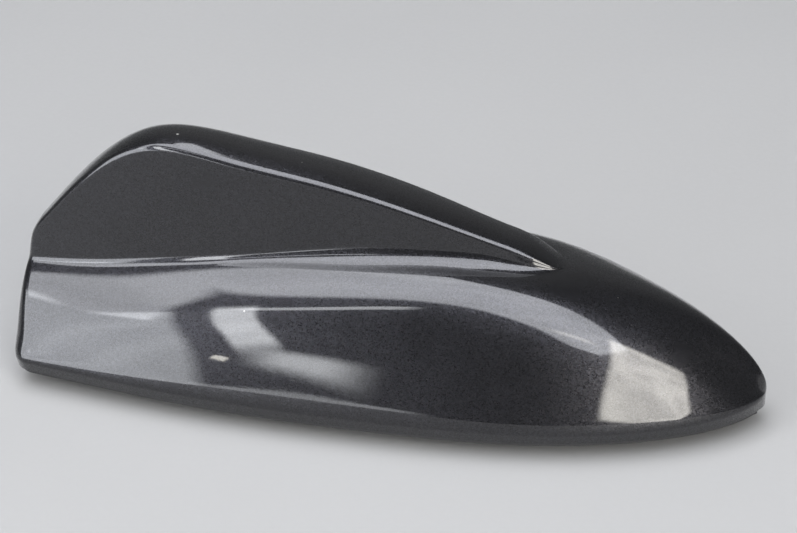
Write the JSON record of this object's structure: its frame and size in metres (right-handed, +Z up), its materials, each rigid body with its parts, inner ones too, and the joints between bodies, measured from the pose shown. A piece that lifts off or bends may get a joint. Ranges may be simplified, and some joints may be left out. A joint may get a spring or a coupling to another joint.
{
  "type": "car roof antenna",
  "caption": "Glossy dark grey shark-fin car roof antenna: a pointed hull with a tapering fin, on a rubber-sealed base plate with a short boss for the roof opening.",
  "frame": {"origin": "on the axis of the fixing bolt's threaded hole, in the plane of the roof panel's top face, which is the seal's lower face", "axes": "+X towards the pointed nose of the cover (front of the car), +Y to the left, +Z up"},
  "size_m": [0.1706, 0.057, 0.0602],
  "materials": {
    "cover_paint": "dark grey metallic paint under glossy clear coat on moulded plastic",
    "die_cast": "die-cast, as cast, lightly grained",
    "black_rubber": "matt black rubber, some dust",
    "foam_rubber": "closed-cell foam, matt",
    "grey_silicone": "soft grey silicone",
    "brass": "turned brass, satin",
    "natural_plastic": "natural unpainted moulding, satin",
    "membrane": "white porous membrane, matt",
    "circuit_board": "green solder mask over glass laminate, semi-gloss",
    "tin_plate": "tin-plated sheet, satin",
    "bronze_sheet": "stamped spring bronze sheet, satin",
    "copper_wire": "enamelled copper wire, glossy",
    "coil_plastic": "white moulded coil former, satin",
    "patch_ceramic": "fired ceramic, matt, buff",
    "silver_coat": "fired silver coating, matt",
    "chip_black": "black moulded chip packages, matt",
    "chip_tan": "tan chip parts with tinned ends",
    "socket_blue": "blue moulded plug housing, satin",
    "gold_plate": "gold-plated contact, glossy",
    "zinc_steel": "zinc-plated steel, satin"
  },
  "bodies": {
    "root": {"cover": "cover_paint", "base_plate": "die_cast", "roof_seal": "black_rubber", "boss_gasket": "foam_rubber", "rim_gasket": "grey_silicone", "threaded_insert": "brass", "retaining_clips": "natural_plastic", "vent_membrane": "membrane", "main_board": "circuit_board", "fin_board": "circuit_board", "board_brackets": "tin_plate", "capacitive_plate": "bronze_sheet", "fin_foam": "foam_rubber", "coil_core": "coil_plastic", "loading_coil": "copper_wire", "patch_ceramic": "patch_ceramic", "patch_electrode": "silver_coat", "patch_pin": "tin_plate", "cell_element_left": "bronze_sheet", "cell_element_right": "bronze_sheet", "lna_shield": "tin_plate", "amp_shield": "tin_plate", "rf_chips": "chip_black", "chip_capacitors": "chip_tan", "coax_housing": "socket_blue", "coax_shells": "tin_plate", "coax_pins": "gold_plate", "base_screws": "zinc_steel", "board_screws": "zinc_steel"}
  },
  "joints": []
}
